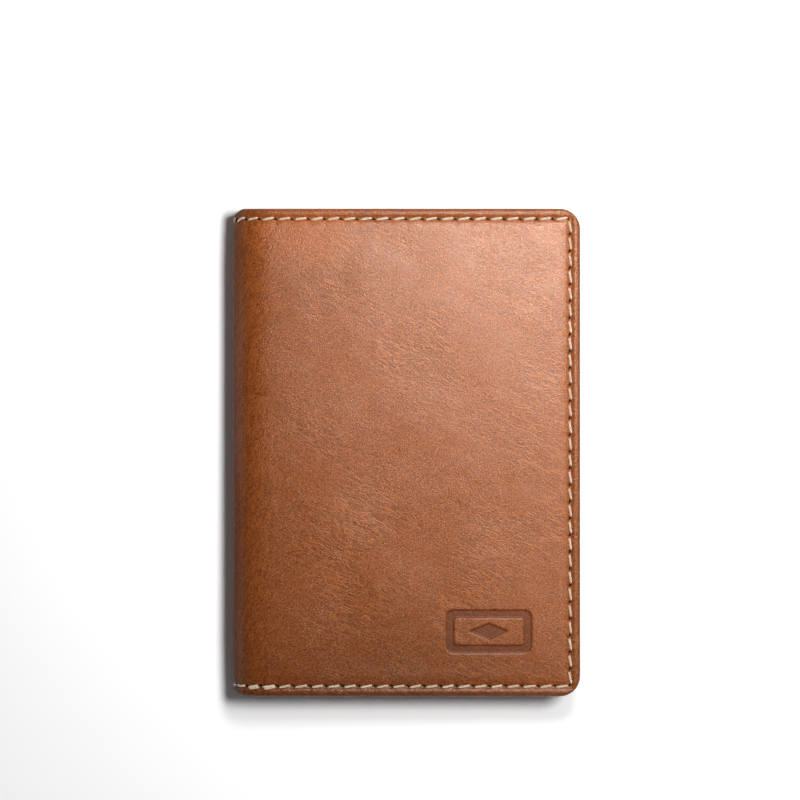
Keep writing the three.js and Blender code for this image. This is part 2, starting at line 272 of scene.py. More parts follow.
class Sheet:
    """A rounded rectangle of flat coordinates: a regular grid, and rings round it that follow the outline.

    The outline runs along the top, down the right side and back along the bottom; the left side is straight."""

    def __init__(self, x0, x1, y0, y1, radii, band, xs, ys, ring_depths):
        self.box = (x0, x1, y0, y1)
        self.radii = radii
        self.xs, self.ys = xs, ys
        inner = [(x, ys[-1]) for x in xs]
        inner += [(xs[-1], y) for y in ys[-2::-1]]
        inner += [(x, ys[0]) for x in xs[-2::-1]]
        self.inner = np.array(inner)
        self.outline = self._outline()
        t = np.array(ring_depths) / band
        self.rings = [self.outline + (self.inner - self.outline) * f for f in t]
        self.count = len(inner)

    def _outline(self):
        """The point of the outline that belongs to each point of the inner boundary."""
        x0, x1, y0, y1 = self.box
        xi = self.xs[-1]
        step = 1e-9
        out = self.inner.copy()
        ends = ((1, y1, self.ys[-1], self.radii[0]), (-1, y0, self.ys[0], self.radii[1]))
        for sign, edge, inner_y, r in ends:
            reach = min(12.0, (self.xs[-1] - self.xs[0]) / 2, (self.ys[-1] - self.ys[0]) / 2)
            on_row = np.abs(self.inner[:, 1] - inner_y) < step
            on_side = (np.abs(self.inner[:, 0] - xi) < step) & ~on_row
            along = np.where(on_row, self.inner[:, 0] - xi, np.abs(self.inner[:, 1] - inner_y))
            straight = reach + (x1 - xi) - r
            straight_side = reach + abs(edge - inner_y) - r
            total = straight + straight_side + r * math.pi / 2
            near = (on_row & (along > -reach)) | (on_side & (along < reach) & (along > 0))
            f = (along[near] + reach) / (2 * reach) * total
            angle = np.clip((f - straight) / r, 0, math.pi / 2)
            x = xi - reach + np.minimum(f, straight) + r * np.sin(angle)
            drop = r * (1 - np.cos(angle)) + np.maximum(f - straight - r * math.pi / 2, 0)
            out[near] = np.stack([x, edge - sign * drop], -1)
            out[on_row & ~near, 1] = edge
        side = (np.abs(self.inner[:, 0] - xi) < step) & (np.abs(out[:, 0] - xi) < step)
        out[side, 0] = x1
        return out

    def top_side(self):
        """Points and faces of one side: every ring, then the grid. The last ring is the grid's own boundary."""
        nx, ny = len(self.xs), len(self.ys)
        rings = len(self.rings)
        first = (rings - 1) * self.count
        grid = np.stack(np.meshgrid(self.xs, self.ys, indexing="ij"), -1).reshape(-1, 2)
        points = np.concatenate(self.rings[:-1] + [grid])
        index = first + np.arange(nx * ny).reshape(nx, ny)
        boundary = np.concatenate([index[:, -1], index[-1, -2::-1], index[-2::-1, 0]])
        quads = np.stack([index[:-1, :-1], index[1:, :-1], index[1:, 1:], index[:-1, 1:]], -1)
        faces = [quads.reshape(-1, 4)]
        ring_index = [r * self.count + np.arange(self.count) for r in range(rings - 1)] + [boundary]
        for a, b in zip(ring_index[:-1], ring_index[1:]):
            faces.append(np.stack([a[:-1], b[:-1], b[1:], a[1:]], -1))
        left = [a[-1] for a in ring_index[:-1]]
        left += list(index[0, :]) + [a[0] for a in ring_index[-2::-1]]
        return points, np.concatenate(faces), ring_index, np.array(left)


# ---- Seams ----
# A seam runs along the top, turns in one hole at the corner, and runs down the side and back along the bottom.
# Its stitches are counted from the fold: stitch k has its middle at k, and the holes are half way between.
def seam_count(s, y):
    """Stitches along the cover seam to the point of it nearest to (s, y), from the fold at the top."""
    in_row = (TOP - np.abs(y)) < (RIGHT - s)
    row = np.minimum((s - APEX_S) / ROW_PITCH, ROW_STITCHES)
    side = ROW_STITCHES + np.maximum(SEAM_Y - np.abs(y), 0) / SIDE_PITCH
    count = np.where(in_row, row, side)
    return np.where(y >= 0, count, ALL_STITCHES - count)


def seam_row(s):
    """The height in Y of the row at s. It stays nearly straight where the ends of the fold pull in."""
    return SEAM_Y + 0.8 * drawn_in(s)


def seam_across(s, y):
    """Distance inside the seam line, negative between the seam and the edge."""
    return np.minimum(SEAM_X - s, seam_row(s) - np.abs(y))


def seam_point(count):
    """A point of the cover seam in flat coordinates, its direction, and the direction out towards the edge."""
    mirror = count > ALL_STITCHES / 2
    k = ALL_STITCHES - count if mirror else count
    if k < ROW_STITCHES:
        s = APEX_S + k * ROW_PITCH
        p, out = (s, float(seam_row(s))), (0, 1)
    else:
        p, out = (SEAM_X, SEAM_Y - (k - ROW_STITCHES) * SIDE_PITCH), (1, 0)
    if mirror:
        p, out = (p[0], -p[1]), (out[0], -out[1])
    return np.array(p), np.array([out[1], -out[0]]), np.array(out)


def twisted_stitch(length, radius, turns, dip, plies=3, sides=7, steps=18):
    """A stitch of twisted plies along +X, its middle proud of z = 0 and its ends diving below it.

    Gives the points, the faces, and how far out of the twist each point lies."""
    w = np.linspace(-1, 1, steps)
    taper = 1 - 0.32 * np.abs(w) ** 6
    ply = radius * 0.5 * taper
    offset = radius * 0.56 * taper
    height = radius * 0.75 - dip * np.abs(w) ** 5
    points, faces, ridge = [], [], []
    ring = np.linspace(0, 2 * math.pi, sides, endpoint=False)
    for k in range(plies):
        phase = 2 * math.pi * k / plies + turns * math.pi * w
        centre_y = offset * np.cos(phase)
        centre_z = height + offset * np.sin(phase)
        first = k * steps * sides
        for i in range(steps):
            points.append(
                np.stack(
                    [
                        np.full(sides, w[i] * length / 2),
                        centre_y[i] + ply[i] * np.cos(ring),
                        centre_z[i] + ply[i] * np.sin(ring),
                    ],
                    -1,
                )
            )
            ridge.append(np.cos(ring - phase[i]))
        faces.append(ring_faces(sides, steps, first, wrap=True))
    return np.concatenate(points), np.concatenate(faces), np.concatenate(ridge)


def stitch_mesh(places, surface, shape, quads, ridge):
    """Copies of one stitch at places, each (centre, direction, out), laid on a surface(s, y, height)."""
    points, faces, tone = [], [], []
    for i, (centre, ahead, out) in enumerate(places):
        tilt = STITCH_SLANT + rng.normal(0, 0.02)
        a, b = math.cos(tilt), math.sin(tilt)
        ahead_now, out_now = ahead * a + out * b, out * a - ahead * b
        size = 1 + rng.normal(0, 0.02)
        flat = centre + shape[:, :1] * ahead_now * size + shape[:, 1:2] * out_now
        points.append(surface(flat[:, 0], flat[:, 1], shape[:, 2] + rng.normal(0, 0.012)))
        faces.append(quads + i * len(shape))
        own_tone = np.full(len(shape), rng.uniform(0, 1))
        tone.append(np.stack([own_tone, ridge, np.zeros(len(shape))], -1))
    return np.concatenate(points), np.concatenate(faces), np.concatenate(tone)


def thread_object(name, parts, material):
    """One mesh of several stitch meshes."""
    first, faces = 0, []
    for points, quads, _ in parts:
        faces.append(quads + first)
        first += len(points)
    points = np.concatenate([p for p, _, _ in parts])
    tone = np.concatenate([t for _, _, t in parts])
    return mesh_object(name, points, faces, [material], {"tone": tone})


# ---- The covers ----
def mark_depth(x, y):
    """1 in the pressed lines of the blind-stamped mark, 0 elsewhere."""
    cx, cy = MARK_CENTRE
    w, h = MARK_SIZE[0] / 2, MARK_SIZE[1] / 2
    outer = inside(x, y, cx - w, cx + w, cy - h, cy + h, 1.6)
    iw, ih = w - MARK_LINE, h - MARK_LINE
    hole = inside(x, y, cx - iw, cx + iw, cy - ih, cy + ih, 0.6)
    frame_line = np.minimum(outer, -hole)
    a, b = LOZENGE[0] / 2, LOZENGE[1] / 2
    diamond = (1 - np.abs(x - cx) / a - np.abs(y - cy) / b) * a * b / math.hypot(a, b)
    return smooth(-0.12, 0.14, np.maximum(frame_line, diamond))


class CoverSkin:
    """Heights of the outer face of one cover above its flat, in millimetres.

    Lift moves the whole face, less and less towards the middle of the fold, where the two covers meet."""

    def __init__(self, stamped, lift):
        self.stamped = stamped
        self.lift = lift
        self.broad = Waves(16, 60, 26)
        self.soft = Waves(4, 12, 40)

    def lifted(self, s):
        return self.lift * smooth(APEX_S + 0.6, FOLD_X, s)

    def __call__(self, s, y):
        off_seam = seam_across(s, y)
        stitch = seam_count(s, y)
        hole = bell(stitch - np.floor(stitch) - 0.5, 0, 0.16)
        height = -GROOVE * bell(off_seam, 0, 0.6) - HOLE_DIP * bell(off_seam, 0, 0.34) * hole
        height += BORDER_RISE * bell(off_seam, -1.1, 0.6)
        height -= 0.04 * bell(off_seam, -0.7, 0.6) * hole
        height += CROWN_NEAR * smooth(0.1, 2.6, off_seam) + CROWN_FAR * smooth(2, 12, off_seam)
        height += PUFF * bell(off_seam, 0.9, 0.8) * (1 - hole)
        height -= eased(s)
        height -= fillet(from_edge(s, y), EDGE_R)
        calm = smooth(0.5, 5, off_seam) * smooth(APEX_S + 0.3, APEX_S + 4, s)
        height += calm * (SWELL * self.broad(s, y) + RIPPLE * self.soft(s, y))
        if self.stamped:
            height -= MARK_DEPTH * mark_depth(s, y)
        return height + self.lifted(s)


def cover(half, skin, material, fine_xs=(), fine_ys=(), step=0.45):
    """One cover: outer face, turned edge and hem, from the fore-edge round to the outermost line of the fold."""
    xi, yi = RIGHT - HEM, TOP - HEM
    near_fold = (APEX_S, APEX_S + 0.9, 0.12)
    xs = spaced(APEX_S, xi, step, (near_fold, (APEX_S + 0.9, FOLD_X, 0.3), *fine_xs))
    ys = spaced(-yi, yi, step, fine_ys)
    depths = [0, 0.03, 0.09, 0.18, 0.3, 0.44, 0.6, 0.8, 1.0, 1.2, 1.38, 1.54, 1.68, 1.8, 1.91, 2.02]
    depths += [2.13, 2.24, 2.35, 2.47, 2.6, 2.75, 2.95, 3.2, 3.5, 3.9, 4.35, 4.85, 5.4, HEM]
    flat = Sheet(APEX_S, RIGHT, -TOP, TOP, (CORNER_R, CORNER_R), HEM, xs, ys, depths)
    points, faces, rings, _ = flat.top_side()
    s, y = points.T
    outer = bend(s, y, -skin(s, y), half)

    # The hem on the inner side, down to its step, closed by long strips behind the lining.
    inner_depths = [0, 0.04, 0.12, 0.25, 0.45, 0.72, 1.2, 3, 5.85, HEM]
    inner = Sheet(APEX_S, RIGHT, -TOP, TOP, (CORNER_R, CORNER_R), HEM, xs, ys, inner_depths)
    loops = np.concatenate(inner.rings)
    si, yi_all = loops.T
    inner_edge = from_edge(si, yi_all)
    under = HEM_DEPTH - fillet(inner_edge, EDGE_R) * 0.9
    ring_no = np.repeat(np.arange(len(inner_depths)), inner.count)
    under = np.where(ring_no == len(inner_depths) - 1, LEATHER, under)
    hem = bend(si, yi_all, under, half)

    base = len(points)
    count = flat.count
    along = np.arange(count - 1)
    first_wall = np.stack([rings[0][1:], rings[0][:-1], base + along, base + along + 1], -1)
    hem_faces = ring_faces(count, len(inner_depths), base)
    last = base + (len(inner_depths) - 1) * count
    nx, ny = len(xs), len(ys)
    top_row = last + np.arange(nx)
    bottom_row = last + count - 1 - np.arange(nx)
    strips = np.stack([bottom_row[:-1], top_row[:-1], top_row[1:], bottom_row[1:]], -1)[:-1]
    side = list(last + np.arange(nx - 2, nx - 2 + ny + 2))
    all_points = np.concatenate([outer, hem])
    rest = np.concatenate(
        [
            np.stack([s, y, np.zeros_like(s)], -1),
            np.stack([si, yi_all, np.full_like(si, INNER_GRAIN_AT)], -1),
        ]
    )
    seam = np.stack([seam_count(s, y), seam_across(s, y), np.ones_like(s)], -1)
    seam = np.concatenate([seam, np.tile([0.0, 9.0, 0.0], (len(si), 1))])
    stamp = np.concatenate([mark_depth(s, y) if skin.stamped else np.zeros_like(s), np.zeros_like(si)])
    edge = np.concatenate([from_edge(s, y), inner_edge])
    blocks = [faces, first_wall, hem_faces, strips, [side]]
    return mesh_object(
        f"{half}_cover",
        all_points,
        blocks,
        [material],
        {"rest": rest, "seam": seam, "stamp": stamp, "edge": edge},
        outward=(0, 0, 1 if half == "front" else -1),
    )


# ---- The inner sheets ----
def place(x, y, z, half):
    """A point of the inner stack. Heights are the back half's; the front half is its mirror image."""
    return np.stack([x, y, z if half == "back" else THICK - z], -1)


def slab(name, sheet, top, bottom, mapping, materials, outward, edge_rings=2):
    """A closed sheet: two sides over one plan, joined by a wall.

    The wall and the outermost rings take material 1, where there is one."""
    points, faces, rings, left = sheet.top_side()
    x, y = points.T
    n = len(points)
    both = np.concatenate([mapping(x, y, top(x, y)), mapping(x, y, bottom(x, y))])
    loop = np.concatenate([rings[0], left[1:-1]])
    after = np.roll(loop, -1)
    wall = np.stack([loop, after, after + n, loop + n], -1)
    rest = np.concatenate(
        [np.stack([x, y, np.zeros(n)], -1), np.stack([x, y, np.full(n, INNER_GRAIN_AT)], -1)]
    )
    grid_faces = (len(sheet.xs) - 1) * (len(sheet.ys) - 1)
    edge_faces = (sheet.count - 1) * edge_rings
    side_materials = np.zeros(len(faces), int)
    side_materials[grid_faces : grid_faces + edge_faces] = 1
    kinds = np.concatenate([side_materials, side_materials, np.ones(len(wall), int)])
    if len(materials) == 1:
        kinds[:] = 0
    return mesh_object(
        name,
        both,
        [faces, faces[:, ::-1] + n, wall],
        materials,
        {"rest": rest},
        face_materials=kinds,
        outward=outward,
    )


PANEL_LEFT = node_box("back_slip_pocket_backing")[0][0]
PANEL_RIGHT = node_box("back_slip_pocket_backing")[1][0]
PANEL_TOP = node_box("back_slip_pocket_backing")[1][1]
PANEL_R = CORNER_R - (RIGHT - PANEL_RIGHT)
SEWN = 3.3
Z_BACKING = node_box("back_slip_pocket_backing")[1][2]
Z_REAR = node_box("back_rear_card_pocket")[1][2]
Z_FRONT = node_box("back_front_card_pocket")[1][2]
REAR_MOUTH = node_box("back_rear_card_pocket")[1][1]
REAR_BOTTOM = node_box("back_rear_card_pocket")[0][1]
FRONT_MOUTH = node_box("back_front_card_pocket")[1][1]
SIDE_SEAM_X = PANEL_LEFT + SEWN / 2
POCKET_LEATHER = 0.6
POCKET_CORNER = 0.5


class Panel:
    """One flat sheet of the inner stack: its plan, the heights of its two faces and the sewn edges.

    Step_down is how far the sheet reaches below its floor beyond the rear pocket's lower edge, where it meets the
    backing."""

    def __init__(
        self, y0, y1, radii, floor, face, leather, mouth, open_left=False, step_down=0
    ):
        self.y0, self.y1, self.radii = y0, y1, radii
        self.floor, self.face, self.leather = floor, face, leather
        self.mouth, self.open_left, self.step_down = mouth, open_left, step_down
        self.wave = Waves(9, 40, 16)

    def edge(self, x, y):
        radius = np.where(y > (self.y0 + self.y1) / 2, self.radii[0], self.radii[1])
        around = inside(x, y, PANEL_LEFT - BEYOND, PANEL_RIGHT, self.y0, self.y1, radius)
        return np.minimum(around, x - PANEL_LEFT)

    def sewn(self, x, y):
        """Distance inside the sewn edges only."""
        y1 = self.y1 + (BEYOND if self.mouth else 0)
        radius = np.where(y > (self.y0 + self.y1) / 2, self.radii[0], self.radii[1])
        around = inside(x, y, PANEL_LEFT - BEYOND, PANEL_RIGHT, self.y0, y1, radius)
        return around if self.open_left else np.minimum(around, x - PANEL_LEFT)

    def top(self, x, y):
        sewn = self.sewn(x, y)
        height = self.face - 0.10 * bell(sewn, 1.5, 0.6) - fillet(self.edge(x, y), 0.22)
        height += 0.02 * smooth(2, 8, sewn) * self.wave(x, y)
        if self.mouth:
            height -= 0.10 * bell(self.y1 - y, 1.7, 0.22) * smooth(1.6, 3.4, sewn)
        return height

    def bottom(self, x, y):
        lifted = smooth(SEWN - 0.6, SEWN + 0.7, self.sewn(x, y))
        ceiling = self.face - self.leather
        floor = self.floor
        if self.step_down:
            floor = floor - self.step_down * smooth(REAR_BOTTOM - 0.02, REAR_BOTTOM - 0.14, y)
        return floor + (ceiling - floor) * lifted + fillet(self.edge(x, y), 0.16)

    def build(self, name, half, materials):
        band = 4.5
        xi = PANEL_RIGHT - band
        fine = ((PANEL_LEFT, PANEL_LEFT + 0.3, 0.07), (PANEL_LEFT + 0.3, PANEL_LEFT + 5.4, 0.3))
        xs = spaced(PANEL_LEFT, xi, 1.1, fine)
        # The rows slide along the outline near a corner, so the fine ones reach past the step.
        at_step = ((REAR_BOTTOM - 0.5, REAR_BOTTOM + 2.6, 0.1),) if self.step_down else ()
        ys = spaced(self.y0 + band, self.y1 - band, 1.1, at_step)
        depths = [0, 0.05, 0.13, 0.24, 0.45, 0.8, 1.15, 1.4, 1.6, 1.75]
        depths += [1.95, 2.2, 2.6, 3.0, 3.4, 3.9, band]
        sheet = Sheet(PANEL_LEFT, PANEL_RIGHT, self.y0, self.y1, self.radii, band, xs, ys, depths)
        up = (0, 0, 1 if half == "back" else -1)
        mapping = lambda x, y, z: place(x, y, z, half)
        return slab(name, sheet, self.top, self.bottom, mapping, materials, up)


backing = Panel(
    -PANEL_TOP,
    PANEL_TOP,
    (PANEL_R, PANEL_R),
    floor=HEM_DEPTH + LAYER_GAP,
    face=Z_BACKING,
    leather=0.25,
    mouth=False,
    open_left=True,
)
rear_pocket = Panel(
    REAR_BOTTOM,
    REAR_MOUTH,
    (POCKET_CORNER, 0.15),
    floor=Z_BACKING + LAYER_GAP,
    face=Z_REAR,
    leather=POCKET_LEATHER,
    mouth=True,
)
front_pocket = Panel(
    -PANEL_TOP,
    FRONT_MOUTH,
    (POCKET_CORNER, PANEL_R),
    floor=Z_REAR + LAYER_GAP,
    face=Z_FRONT,
    leather=POCKET_LEATHER,
    mouth=True,
    step_down=Z_REAR - Z_BACKING,
)


def stack_face(y):
    """Height at which thread lies on the inner stack, stepping down past each pocket mouth."""
    past_front = smooth(FRONT_MOUTH - 0.05, FRONT_MOUTH + 0.3, y)
    past_rear = smooth(REAR_MOUTH - 0.05, REAR_MOUTH + 0.3, y)
    return Z_FRONT - (Z_FRONT - Z_REAR) * past_front - (Z_REAR - Z_BACKING) * past_rear - 0.08


def lining(half, material):
    """The lining cloth inside the hem, running on over the fold."""
    x1, y1 = RIGHT - HEM - 0.1, TOP - HEM - 0.1
    band = 2.0
    xs = spaced(APEX_S, x1 - band, 3.0, ((APEX_S, FOLD_X + 1, 0.4),))
    ys = spaced(-y1 + band, y1 - band, 3.0)
    sheet = Sheet(APEX_S, x1, -y1, y1, (1.0, 1.0), band, xs, ys, [0, 0.3, 0.8, band])
    top = lambda x, y: np.full_like(x, HEM_DEPTH - 0.02)
    bottom = lambda x, y: np.full_like(x, HEM_DEPTH - 0.18)
    mapping = lambda x, y, depth: bend(x, y, depth, half)
    outward = (0, 0, 1 if half == "back" else -1)
    return slab(f"{half}_lining_cloth", sheet, top, bottom, mapping, [material], outward, edge_rings=0)


# ---- Materials ----
class Nodes:
    """A material with a Principled shader and short ways to add nodes to it."""

    def __init__(self, name, **sockets):
        self.material = bpy.data.materials.new(name)
        self.material.use_nodes = True
        self.tree = self.material.node_tree
        self.tree.nodes.clear()
        output = self.add("ShaderNodeOutputMaterial")
        self.shader = self.add("ShaderNodeBsdfPrincipled")
        self.tree.links.new(self.shader.outputs[0], output.inputs[0])
        for key, value in sockets.items():
            self.shader.inputs[key.replace("_", " ")].default_value = value

    def add(self, kind, inputs=(), **settings):
        node = self.tree.nodes.new(kind)
        for key, value in settings.items():
            setattr(node, key, value)
        for key, value in dict(inputs).items():
            self.put(value, node.inputs[key])
        return node

    def put(self, value, socket):
        if isinstance(value, bpy.types.NodeSocket):
            self.tree.links.new(value, socket)
        elif value is not None:
            socket.default_value = value

    def set(self, key, value):
        self.put(value, self.shader.inputs[key])

    def attribute(self, name, output="Vector"):
        return self.add("ShaderNodeAttribute", attribute_name=name).outputs[output]

    def math(self, operation, a, b=None, c=None):
        node = self.add("ShaderNodeMath", operation=operation)
        for value, socket in zip((a, b, c), node.inputs):
            self.put(value, socket)
        return node.outputs[0]

    def vector(self, operation, a, b=None):
        node = self.add("ShaderNodeVectorMath", operation=operation)
        self.put(a, node.inputs[0])
        self.put(b, node.inputs[1])
        return node.outputs["Value" if operation in ("LENGTH", "DOT_PRODUCT") else "Vector"]

    def scaled(self, vector, scale):
        node = self.add("ShaderNodeVectorMath", operation="SCALE")
        self.put(vector, node.inputs[0])
        self.put(scale, node.inputs["Scale"])
        return node.outputs[0]

    def noise(self, vector, scale, detail=3.0, roughness=0.5, output="Fac"):
        inputs = {"Vector": vector, "Scale": scale, "Detail": detail, "Roughness": roughness}
        return self.add("ShaderNodeTexNoise", inputs).outputs[output]

    def cells(self, vector, scale):
        """Distance to the nearest wall between random cells."""
        inputs = {"Vector": vector, "Scale": scale, "Randomness": 1.0}
        return self.add("ShaderNodeTexVoronoi", inputs, feature="DISTANCE_TO_EDGE").outputs["Distance"]

    def turned(self, vector, degrees, scale):
        """The vector turned so that the direction at degrees becomes X, and then scaled."""
        inputs = {"Vector": vector, "Rotation": (0, 0, math.radians(degrees))}
        inputs["Scale"] = [1 / v for v in scale]
        return self.add("ShaderNodeMapping", inputs, vector_type="TEXTURE").outputs[0]

    def ramp(self, value, low, high, to_low=0.0, to_high=1.0):
        node = self.add("ShaderNodeMapRange", interpolation_type="SMOOTHSTEP")
        keys = ("Value", "From Min", "From Max", "To Min", "To Max")
        for key, item in zip(keys, (value, low, high, to_low, to_high)):
            self.put(item, node.inputs[key])
        return node.outputs[0]

    def blend(self, factor, a, b, mode="MIX"):
        node = self.add("ShaderNodeMix", data_type="RGBA", blend_type=mode)
        self.put(factor, node.inputs[0])
        self.put(a, node.inputs[6])
        self.put(b, node.inputs[7])
        return node.outputs[2]

    def times(self, shade, tint):
        """The colour shade with the tint laid over it, as a stain darkens it."""
        return self.blend(1.0, shade, tint, "MULTIPLY")

    def split(self, vector):
        return self.add("ShaderNodeSeparateXYZ", {"Vector": vector}).outputs

    def line(self, noise, width):
        """1 along the middle level of a noise, falling to 0 at width from it."""
        off = self.math("ABSOLUTE", self.math("SUBTRACT", noise, 0.5))
        return self.math("SUBTRACT", 1.0, self.ramp(off, 0.0, width))

    def bump(self, height, distance=MM):
        inputs = {"Height": height, "Distance": distance, "Strength": 1.0}
        return self.add("ShaderNodeBump", inputs).outputs[0]


def colour(r, g, b):
    return (r, g, b, 1.0)


TAN = colour(0.225, 0.063, 0.0140)
TAN_DARK = colour(0.205, 0.055, 0.0115)
TAN_PALE = colour(0.420, 0.128, 0.0270)
POCKET_PALE = colour(0.330, 0.098, 0.0210)
# Painted shade for the rounded turned edge of the covers.
EDGE_SHADE_BROWN = colour(0.130, 0.036, 0.013)
WAX_TINT = colour(1.0, 0.85, 0.75)
LEATHER_GLOSS = 0.60
SLIT_SLANT = math.radians(24)
SLIT = (0.70, 0.22)
JOINT_AT = 17
TWILL_RIB, TWILL_WEFT = 0.55, 0.28


def stitch_slits(n, stitch, across):
    """1 in the slanting slits that the needle leaves in the seam line, from the seam's own coordinates."""
    phase = n.math("SUBTRACT", n.math("FRACT", stitch), 0.5 - HOLE_LEAD / SIDE_PITCH)
    ahead = n.math("MULTIPLY", phase, SIDE_PITCH)
    cos, sin = math.cos(SLIT_SLANT), math.sin(SLIT_SLANT)
    a = n.math("ADD", n.math("MULTIPLY", ahead, cos), n.math("MULTIPLY", across, sin))
    b = n.math("SUBTRACT", n.math("MULTIPLY", across, cos), n.math("MULTIPLY", ahead, sin))
    a, b = n.math("DIVIDE", a, SLIT[0]), n.math("DIVIDE", b, SLIT[1])
    reach = n.math("SQRT", n.math("ADD", n.math("MULTIPLY", a, a), n.math("MULTIPLY", b, b)))
    return n.ramp(reach, 1.15, 0.75)


def far_from(n, rest, centre, stretch):
    """Distance from a centre on the cover, measured with X and Y stretched."""
    off = n.vector("SUBTRACT", rest, (*centre, 0))
    return n.vector("LENGTH", n.vector("MULTIPLY", off, (*stretch, 0.0)))


def cover_details(n, rest, warped, drift, shade, rough, height):
    """What only the covers have: stitch slits with painted shade in them, the wrinkled border with a little painted
    shade, painted shade on the turned edge, painted light and shade across the cover, a darker fold, and the
    pressed mark.
    """
    stitch, across, outer = n.split(n.attribute("seam"))
    slit = n.math("MULTIPLY", stitch_slits(n, stitch, across), outer)
    rough = n.math("MAXIMUM", rough, slit)
    # Near black in the slits: painted shade inside the needle holes.
    shade = n.blend(slit, shade, colour(0.012, 0.004, 0.002))
    height = n.math("MULTIPLY_ADD", slit, -0.25, height)

    border = n.math("MULTIPLY", n.ramp(across, -0.1, -0.7), outer)
    pull = n.noise(n.turned(n.vector("ADD", warped, (0, 0, 5)), 35, (0.7, 2.2, 1.0)), 1.0, 2, 0.6)
    height = n.math("MULTIPLY_ADD", n.math("MULTIPLY", border, pull), 0.14, height)
    # The border between seam and edge is a little darker: painted shade of its slope away from the light.
    shade = n.blend(border, shade, n.times(shade, colour(0.86, 0.84, 0.84)))
    # Darker brown on the rounded turned edge: painted shade of the edge curving down away from the light.
    edge_shade = n.ramp(n.attribute("edge", "Fac"), 0.45, -0.05)
    shade = n.blend(n.math("MULTIPLY", edge_shade, 0.8), shade, EDGE_SHADE_BROWN)

    # Painted light and shade: the colour is made brighter towards the right and the top, standing in for the
    # fall-off of the light across the cover.
    along, up, _ = n.split(n.vector("ADD", rest, n.scaled(drift, 0.8)))
    painted_light = n.math("MULTIPLY_ADD", along, 0.07 / RIGHT, 1.05)
    painted_light = n.math("MULTIPLY_ADD", up, 0.13 / TOP, painted_light)
    # Painted shade: darker in a broad patch low in the middle, part of the same painted fall-off of light.
    low_middle = far_from(n, rest, (-4, -60), (1.0, 1.5))
    painted_light = n.math("MULTIPLY", painted_light, n.ramp(low_middle, 10, 52, 0.72, 1.0))
    # Painted highlight: lighter in a spot near the top left corner, for the light caught by the leather's bulge by
    # the seam.
    corner = far_from(n, rest, (-23, 50), (1.0, 1.3))
    painted_light = n.math("MULTIPLY", painted_light, n.ramp(corner, 4, 17, 1.28, 1.0))
    painted_light_colour = n.add("ShaderNodeCombineColor", dict.fromkeys((0, 1, 2), painted_light)).outputs[0]
    shade = n.times(shade, painted_light_colour)

    # Darker towards the fold: partly the leather darkened at the fold, partly painted shade where the leather turns
    # away from the light. The gloss is also lower there.
    fold_darkening = n.ramp(along, FOLD_X + 18, FOLD_X - 4)
    shade = n.blend(fold_darkening, shade, n.times(shade, colour(0.82, 0.77, 0.71)))
    dry = n.ramp(along, FOLD_X - 2.5, APEX_S + 1.5)
    rough = n.math("MULTIPLY_ADD", dry, 0.25, rough)
    gloss = n.math("MULTIPLY_ADD", dry, -0.28, LEATHER_GLOSS)
    n.set("Specular IOR Level", n.math("MULTIPLY_ADD", fold_darkening, -0.20, gloss))

    stamp = n.attribute("stamp", "Fac")
    pressed = n.times(shade, colour(0.58, 0.50, 0.46))
    rough = n.math("MULTIPLY_ADD", stamp, 0.25, rough)
    shade = n.blend(stamp, shade, pressed)
    height = n.math("MULTIPLY", height, n.math("MULTIPLY_ADD", stamp, -0.45, 1.0))
    return shade, rough, height


